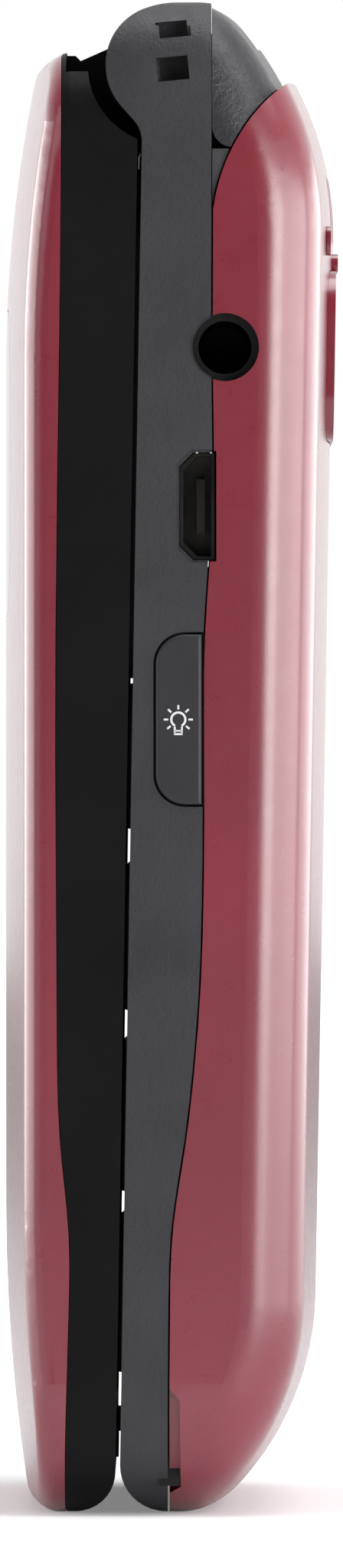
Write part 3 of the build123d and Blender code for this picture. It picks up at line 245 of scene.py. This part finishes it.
holder_metal = metal("holder_tinplate", srgb(178, 174, 164), "X", 0.3)
gold = metal("gold_plate", srgb(206, 164, 92), "X", 0.3)
green_board = board("solder_resist")
display_glass = clear("display_window", srgb(238, 240, 244), 0.95)
outer_glass = clear("outer_window", srgb(30, 12, 16), 0.35)
camera_glass = clear("camera_glass", srgb(150, 150, 160), 0.9)
torch_clear = clear("torch_lens_clear", srgb(240, 244, 250), 0.95, 0.08)


def dress(material, *nodes):
    """Gives CAD nodes a material."""
    for name in nodes:
        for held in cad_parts[name].material_slots:
            held.material = material


DIGITS = ["1", "2", "3", "4", "5", "6", "7", "8", "9", "star", "0", "hash"]
dress(red, "rear_battery_cover", "lid_outer_cover", "assistance_rim")
dress(assist_red, "assistance_key")
dress(frame_black, "lid_inner_frame")
dress(top_black, "top_rear_cover")
dress(housing, "base_front_housing")
dress(key_face, *[f"key_{d}" for d in DIGITS])
dress(key_face, "left_soft_key", "right_soft_key", "call_key", "end_key")
dress(nav_face, "nav_rocker")
dress(side_key, "torch_key", "volume_rocker")
dress(display_glass, "main_display_window")
dress(outer_glass, "outer_display_window")
dress(camera_glass, "camera_window")
dress(torch_clear, "torch_lens")
dress(panel, "main_display_panel", "outer_display_panel")
dress(carrier, "outer_display_carrier")
dress(mesh_cloth.material, "earpiece_mesh")
dress(steel, "earpiece_receiver", "camera_module", "vibration_motor", "microphone", "lid_magnet")
dress(speaker, "loudspeaker")
dress(green_board, "lid_circuit_board", "main_circuit_board", "rear_sub_board")
dress(flex, "lid_flex_cable")
dress(film, "keypad_dome_sheet")
dress(screw_steel, "lid_screws", "housing_screws")
dress(pin_steel, "hinge_cam_module", "hinge_pin")
dress(rubber, "lid_screw_caps", "lid_bumpers")
dress(socket_metal, "usb_receptacle")
dress(holder_metal, "sim_holder")
dress(socket_black, "headset_socket", "side_switches")
dress(gold, "battery_contacts")
dress(chassis, "base_chassis")
dress(wrap, "battery")
dress(antenna_tan, "antenna")
dress(led_gel, "torch_led")


# ------------------------------------------------------------------ printed marks
def ink(name, colour):
    """Pad-printed ink: slightly uneven, satin."""
    s = Shader(name)
    patch = s.noise(2400, 2.0)
    pale = [min(1.0, 1.08 * c) for c in colour[:3]] + [1.0]
    s.colours(patch, colour, pale)
    s.rough(patch, 0.42, 0.52)
    s.bump(patch, 0.002)
    return s.material


white_ink = ink("white_ink", srgb(224, 224, 226))
green_ink = ink("green_ink", srgb(70, 178, 96))
red_ink = ink("red_ink", srgb(206, 58, 56))
INK_THICK = 0.012
INK_SINK = 0.004


def face_matrix(x, s, depth):
    """Frame on the keypad face: x across, s up the face, depth into the base, all in mm."""
    across = Vector((1, 0, 0))
    up = Vector((0, math.sin(TILT), math.cos(TILT)))
    out = across.cross(up)
    place = Vector((x, FACE_FOOT_Y, 0)) + up * s - out * depth
    m = Matrix.Identity(4)
    for column, axis in enumerate((across, up, out)):
        for row in range(3):
            m[row][column] = axis[row]
    m.translation = place
    return m


def side_matrix(x, y, z):
    """Frame in side view: u along Y, v along Z and the thickness along X, in mm."""
    return Matrix(((0, 0, 1, x), (1, 0, 0, y), (0, 1, 0, z), (0, 0, 0, 1)))


def turned(degrees):
    """Cosine and sine of an angle."""
    return math.cos(math.radians(degrees)), math.sin(math.radians(degrees))


def place_piece(name, mesh, material, body):
    """A mesh as a visible piece on a body."""
    mesh.materials.append(material)
    piece = bpy.data.objects.new(name, mesh)
    scene.collection.objects.link(piece)
    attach(piece, body)


def solid_from(outlines, name, matrix, material, body, thickness=INK_THICK):
    """Thin raised shapes from closed outlines in mm, each a list of (u, v)."""
    bm = bmesh.new()
    for outline in outlines:
        bottom = [bm.verts.new((u, v, 0)) for u, v in outline]
        top = [bm.verts.new((u, v, thickness)) for u, v in outline]
        bm.faces.new(list(reversed(bottom)))
        bm.faces.new(top)
        count = len(outline)
        for i in range(count):
            j = (i + 1) % count
            bm.faces.new((bottom[i], bottom[j], top[j], top[i]))
    bmesh.ops.recalc_face_normals(bm, faces=bm.faces)
    bmesh.ops.transform(bm, matrix=Matrix.Scale(MM, 4) @ matrix, verts=bm.verts)
    mesh = bpy.data.meshes.new(name)
    bm.to_mesh(mesh)
    bm.free()
    place_piece(name, mesh, material, body)


def bar(u0, v0, u1, v1, width):
    """A straight stroke between two points, as an outline."""
    run = Vector((u1 - u0, v1 - v0)).normalized()
    side = Vector((-run.y, run.x)) * width / 2
    return [
        (u0 - side.x, v0 - side.y),
        (u1 - side.x, v1 - side.y),
        (u1 + side.x, v1 + side.y),
        (u0 + side.x, v0 + side.y),
    ]


def arc_strip(cu, cv, inner, outer, start, end, steps=20):
    """Part of a ring, as an outline. Angles in degrees."""
    turns = [math.radians(start + (end - start) * i / steps) for i in range(steps + 1)]
    far = [(cu + outer * math.cos(t), cv + outer * math.sin(t)) for t in turns]
    near = [(cu + inner * math.cos(t), cv + inner * math.sin(t)) for t in reversed(turns)]
    return far + near


def text_piece(name, words, matrix, size, material, body):
    """Printed characters, centred on a place, size in mm."""
    curve = bpy.data.curves.new(name, "FONT")
    curve.body = words
    curve.size = size
    curve.extrude = INK_THICK / 2
    curve.align_x = "CENTER"
    curve.align_y = "CENTER"
    curve.resolution_u = 4
    holder = bpy.data.objects.new(name + "_curve", curve)
    scene.collection.objects.link(holder)
    bpy.context.view_layer.update()
    graph = bpy.context.evaluated_depsgraph_get()
    mesh = bpy.data.meshes.new_from_object(holder.evaluated_get(graph))
    mesh.transform(Matrix.Scale(MM, 4) @ matrix)
    mesh.materials.clear()
    bpy.data.objects.remove(holder)
    place_piece(name, mesh, material, body)


# torch key: a lit bulb, with its rays, neck and foot
BULB_CENTRE = (0.53, 53.85)
BULB_RING = (0.40, 0.55)
RAY_REACH = (0.68, 0.98)
RAY_TURNS = (90, 45, 135, 0, 180, -40, 220)
STROKE = 0.13
NECK_X = 0.24
NECK_TOP = -0.48
NECK_FOOT = -0.98
bulb_place = side_matrix(HALF_WIDTH + SIDE_PROUD - INK_SINK, *BULB_CENTRE)
bulb = [arc_strip(0, 0, *BULB_RING, -62, 118), arc_strip(0, 0, *BULB_RING, 118, 242)]
for turn in RAY_TURNS:
    c, s = turned(turn)
    start, end = RAY_REACH
    bulb.append(bar(start * c, start * s, end * c, end * s, STROKE))
for x in (-NECK_X, NECK_X):
    bulb.append(bar(x, NECK_TOP, x, NECK_FOOT, STROKE))
bulb.append(bar(-0.30, NECK_FOOT, 0.30, NECK_FOOT, 0.14))
bulb.append(bar(-NECK_X, -0.76, NECK_X, -0.76, 0.10))
solid_from(bulb, "torch_mark", bulb_place, white_ink, "torch_key")

# digits and their small letters
LETTERS = {
    "2": "abc",
    "3": "def",
    "4": "ghi",
    "5": "jkl",
    "6": "mno",
    "7": "pqrs",
    "8": "tuv",
    "9": "wxyz",
}
SIGNS = {"star": "*", "hash": "#"}
DIGIT_SIZE = 7.2
LETTER_SIZE = 3.0
ASIDE = 2.6                  # digit and letters, each way from the key's middle
STAR_DROP = 1.2              # a star's glyph stands high on its line
for index, digit in enumerate(DIGITS):
    row, column = divmod(index, 3)
    x = (column - 1) * COLUMN_PITCH
    s = TOP_ROW - row * ROW_PITCH
    body = f"key_{digit}"
    shift = -ASIDE if digit in LETTERS else 0.0
    drop = -STAR_DROP if digit == "star" else 0.0
    sign = SIGNS.get(digit, digit)
    depth = -DIGIT_PROUD - INK_THICK / 2
    big = face_matrix(x + shift, s + drop, depth)
    text_piece(f"mark_{digit}", sign, big, DIGIT_SIZE, white_ink, body)
    if digit in LETTERS:
        small = face_matrix(x + ASIDE, s, depth)
        words = LETTERS[digit]
        text_piece(f"letters_{digit}", words, small, LETTER_SIZE, white_ink, body)

# soft keys: a short line each
LINE_HALF = 1.9
LINE_WIDTH = 0.6
for body, x in (("left_soft_key", -SIDE_COLUMN), ("right_soft_key", SIDE_COLUMN)):
    place = face_matrix(x, SOFT_ROW, -FUNCTION_PROUD)
    line = bar(-LINE_HALF, 0, LINE_HALF, 0, LINE_WIDTH)
    solid_from([line], f"mark_{body}", place, white_ink, body)


GRIP_DROP = 2.6
GRIP_INNER = 3.1
GRIP_OUTER = 3.9
GRIP_ENDS = (48, 132)
CUP_INNER = 2.5
CUP_WIDTH = 1.5
HANDSET_DROP = 0.3


def handset(turn):
    """A handset seen from the side: a curved grip with a cup at each end."""
    shapes = [arc_strip(0, -GRIP_DROP, GRIP_INNER, GRIP_OUTER, *GRIP_ENDS, 24)]
    for way in GRIP_ENDS:
        c, s = turned(way)
        near = (CUP_INNER * c, CUP_INNER * s - GRIP_DROP)
        far = (GRIP_OUTER * c, GRIP_OUTER * s - GRIP_DROP)
        shapes.append(bar(*near, *far, CUP_WIDTH))
    c, s = turned(turn)
    return [[(u * c - v * s, u * s + v * c) for u, v in shape] for shape in shapes]


call_place = face_matrix(-SIDE_COLUMN, CALL_ROW - HANDSET_DROP, -FUNCTION_PROUD)
solid_from(handset(45), "mark_call_key", call_place, green_ink, "call_key")
end_place = face_matrix(SIDE_COLUMN, CALL_ROW - HANDSET_DROP, -FUNCTION_PROUD)
solid_from(handset(0), "mark_end_key", end_place, red_ink, "end_key")

# navigation rocker: an arrow up and one down
ARROW_HALF = 1.3
ARROW_FOOT = 7.0
ARROW_TIP = 8.6
arrows = []
for way in (1, -1):
    foot, tip = way * ARROW_FOOT, way * ARROW_TIP
    arrows.append([(-ARROW_HALF, foot), (ARROW_HALF, foot), (0, tip)][:: way])
nav_place = face_matrix(0, NAV_ROW, -FUNCTION_PROUD)
solid_from(arrows, "mark_nav_rocker", nav_place, white_ink, "nav_rocker")

# painted shade: dark strips behind the seam between housing and battery cover darken the gap;
# their runs as (Z, Y); on the right they go on above the charging socket and the headset socket
SEAM = [
    (2, -0.07),
    (14, -0.03),
    (18, 0.1),
    (22, 0.5),
    (26, 1.13),
    (30, 1.59),
    (36, 2.04),
    (44, 2.27),
    (56, 2.28),
    (64.2, 2.62),
]
UPPER_SEAMS = [[(72.4, 2.8), (75.0, 2.8)], [(82.8, 2.8), (93.5, 2.8)]]
SEAM_SHADE_X = 23.55
SEAM_SHADE_HALF = 0.7
SEAM_SHADE_THICK = 0.3
# painted shade: each run becomes a black strip standing in the seam gap
for side, name, runs in ((1, "right", [SEAM] + UPPER_SEAMS), (-1, "left", [SEAM])):
    seam_shades = []
    for run in runs:
        near = [(y - SEAM_SHADE_HALF, z) for z, y in run]
        far = [(y + SEAM_SHADE_HALF, z) for z, y in reversed(run)]
        seam_shades.append(near + far)
    place = side_matrix(side * SEAM_SHADE_X - SEAM_SHADE_THICK / 2, 0, 0)
    solid_from(seam_shades, f"seam_shade_strip_{name}", place, socket_black, "base", SEAM_SHADE_THICK)

# dark rubber pad under the hinge, just clear of the closed lid, as painted shade at the slit's top
SHADE_PAD_ROW = 90.2
SHADE_PAD_THICK = 0.24
SHADE_PAD_OUTLINE = [
    (-1.4, -2.2),
    (-0.9, -2.7),
    (0.9, -2.7),
    (1.4, -2.2),
    (1.4, 2.2),
    (0.9, 2.7),
    (-0.9, 2.7),
    (-1.4, 2.2),
]
# painted shade: the pad darkens the top of the slit between lid and base
shade_pad_place = face_matrix(0, SHADE_PAD_ROW, 0)
solid_from([SHADE_PAD_OUTLINE], "hinge_shade_pad", shade_pad_place, rubber, "base", SHADE_PAD_THICK)

# charging socket: plated contacts on its tongue
CONTACTS = 5
CONTACT_X = 22.9
CONTACT_PITCH = 0.65
CONTACT_THICK = 0.03
CONTACT = [(-1.4, -0.13), (1.3, -0.13), (1.42, 0), (1.3, 0.13), (-1.4, 0.13)]
tongue_y = USB_LOW_Y + TONGUE_MIDDLE - TONGUE_THICK / 2
for index in range(CONTACTS):
    z = USB_MIDDLE_Z + (index - CONTACTS // 2) * CONTACT_PITCH
    place = Matrix(((1, 0, 0, CONTACT_X), (0, 0, -1, tongue_y), (0, 1, 0, z), (0, 0, 0, 1)))
    name = f"usb_contact_{index + 1}"
    solid_from([CONTACT], name, place, gold, "base", CONTACT_THICK)

# ------------------------------------------------------------------ floor
FLOOR_RADIUS = 3.0
FLOOR_Z = -0.00002
FLOOR_SIDES = 64
floor_mesh = bpy.data.meshes.new("floor")
ring = []
for i in range(FLOOR_SIDES):
    turn = math.tau * i / FLOOR_SIDES
    ring.append((FLOOR_RADIUS * math.cos(turn), FLOOR_RADIUS * math.sin(turn), FLOOR_Z))
floor_mesh.from_pydata(ring, [], [tuple(range(FLOOR_SIDES))])
floor = bpy.data.objects.new("floor", floor_mesh)
scene.collection.objects.link(floor)

# the camera alone sees the paper glow, more so away from the phone
paper = Shader("floor_paper")
fibre = paper.noise(900, 3.0)
paper.colours(fibre, srgb(240, 240, 241), srgb(246, 246, 247))
paper.rough(fibre, 0.8, 0.9)
paper.set("Specular IOR Level", 0.1)
tree = paper.tree
reach = tree.nodes.new("ShaderNodeVectorMath")
reach.operation = "LENGTH"
paper.link(paper.coords, reach.inputs[0])
glow = paper.spread(reach.outputs["Value"], 0.22, 1.0, start=0.05, end=0.35)
path = tree.nodes.new("ShaderNodeLightPath")
seen = tree.nodes.new("ShaderNodeMath")
seen.operation = "MULTIPLY"
paper.link(path.outputs["Is Camera Ray"], seen.inputs[0])
paper.link(glow, seen.inputs[1])
paper.set("Emission Color", (1, 1, 1, 1))
paper.link(seen.outputs["Value"], paper.bsdf.inputs["Emission Strength"])
floor_mesh.materials.append(paper.material)

# ------------------------------------------------------------------ world
# matte surfaces get an even soft light, reflections a backdrop that is bright on the far side
# of the phone and dim on the camera's, and the camera itself sees white
WORLD_LIGHT = 0.24
world = bpy.data.worlds.new("studio")
scene.world = world
world.use_nodes = True
nodes = world.node_tree.nodes
links = world.node_tree.links
nodes.clear()
coords = nodes.new("ShaderNodeTexCoord")
split = nodes.new("ShaderNodeSeparateXYZ")
links.new(coords.outputs["Generated"], split.inputs["Vector"])
behind = nodes.new("ShaderNodeMapRange")
behind.inputs["From Min"].default_value = 0.55
behind.inputs["From Max"].default_value = -0.35
behind.inputs["To Min"].default_value = 0.04
behind.inputs["To Max"].default_value = 1.0
links.new(split.outputs["X"], behind.inputs["Value"])


def white_background(strength):
    """A white background of that strength."""
    node = nodes.new("ShaderNodeBackground")
    node.inputs["Color"].default_value = (1.0, 1.0, 1.0, 1.0)
    node.inputs["Strength"].default_value = strength
    return node


soft = white_background(WORLD_LIGHT)
mirror = white_background(1.0)
links.new(behind.outputs["Result"], mirror.inputs["Strength"])
white = white_background(1.0)
rays = nodes.new("ShaderNodeLightPath")
first = nodes.new("ShaderNodeMixShader")
second = nodes.new("ShaderNodeMixShader")
out = nodes.new("ShaderNodeOutputWorld")
links.new(rays.outputs["Is Glossy Ray"], first.inputs["Fac"])
links.new(soft.outputs["Background"], first.inputs[1])
links.new(mirror.outputs["Background"], first.inputs[2])
straight = nodes.new("ShaderNodeMath")
straight.operation = "MAXIMUM"
links.new(rays.outputs["Is Camera Ray"], straight.inputs[0])
links.new(rays.outputs["Is Transmission Ray"], straight.inputs[1])
links.new(straight.outputs["Value"], second.inputs["Fac"])
links.new(first.outputs["Shader"], second.inputs[1])
links.new(white.outputs["Background"], second.inputs[2])
links.new(second.outputs["Shader"], out.inputs["Surface"])

# ------------------------------------------------------------------ lamps
AIM = Vector((0, 0, 0.05))
LAMPS = [                    # name, place, size, power
    ("back_side_box", (0.36, 0.68, 0.07), (1.0, 0.34), 5.2),
    ("back_near_box", (0.74, 0.50, 0.07), (0.30, 0.25), 1.0),
    ("back_far_box", (-0.45, 0.65, 0.07), (0.7, 0.30), 1.7),
    ("lid_side_box", (-0.15, -0.68, 0.08), (1.1, 0.30), 4.0),
    ("lid_near_box", (0.60, -0.60, 0.07), (0.3, 0.25), 0.12),
    ("near_box", (0.80, -0.70, 0.45), (0.5, 0.5), 1.0),
    ("slope_box", (0.30, 0.60, 0.68), (0.4, 0.4), 2.2),
    ("top_box", (0.05, 0.10, 0.8), (0.5, 0.5), 3.4),
]
for name, place, size, power in LAMPS:
    light = bpy.data.lights.new(name, "AREA")
    light.shape = "RECTANGLE"
    light.size, light.size_y = size
    light.energy = power
    lamp = bpy.data.objects.new(name, light)
    scene.collection.objects.link(lamp)
    lamp.location = place
    lamp.rotation_mode = "QUATERNION"
    lamp.rotation_quaternion = (AIM - Vector(place)).to_track_quat("-Z", "Y")

# ------------------------------------------------------------------ camera, square to the right side
eye = bpy.data.cameras.new("eye")
eye.sensor_width = 36.0
distance = 1.05
shown_height = 2048 * 0.052 * MM
side_plane = 0.020
eye.lens = eye.sensor_width * distance / shown_height
eye.clip_start = 0.05
eye.clip_end = 20.0
camera = bpy.data.objects.new("eye", eye)
scene.collection.objects.link(camera)
camera.location = (side_plane + distance, 0.00007, 0.0495)
camera.rotation_mode = "QUATERNION"
camera.rotation_quaternion = Vector((-1, 0, 0)).to_track_quat("-Z", "Y")
scene.camera = camera
scene.view_settings.view_transform = "Standard"
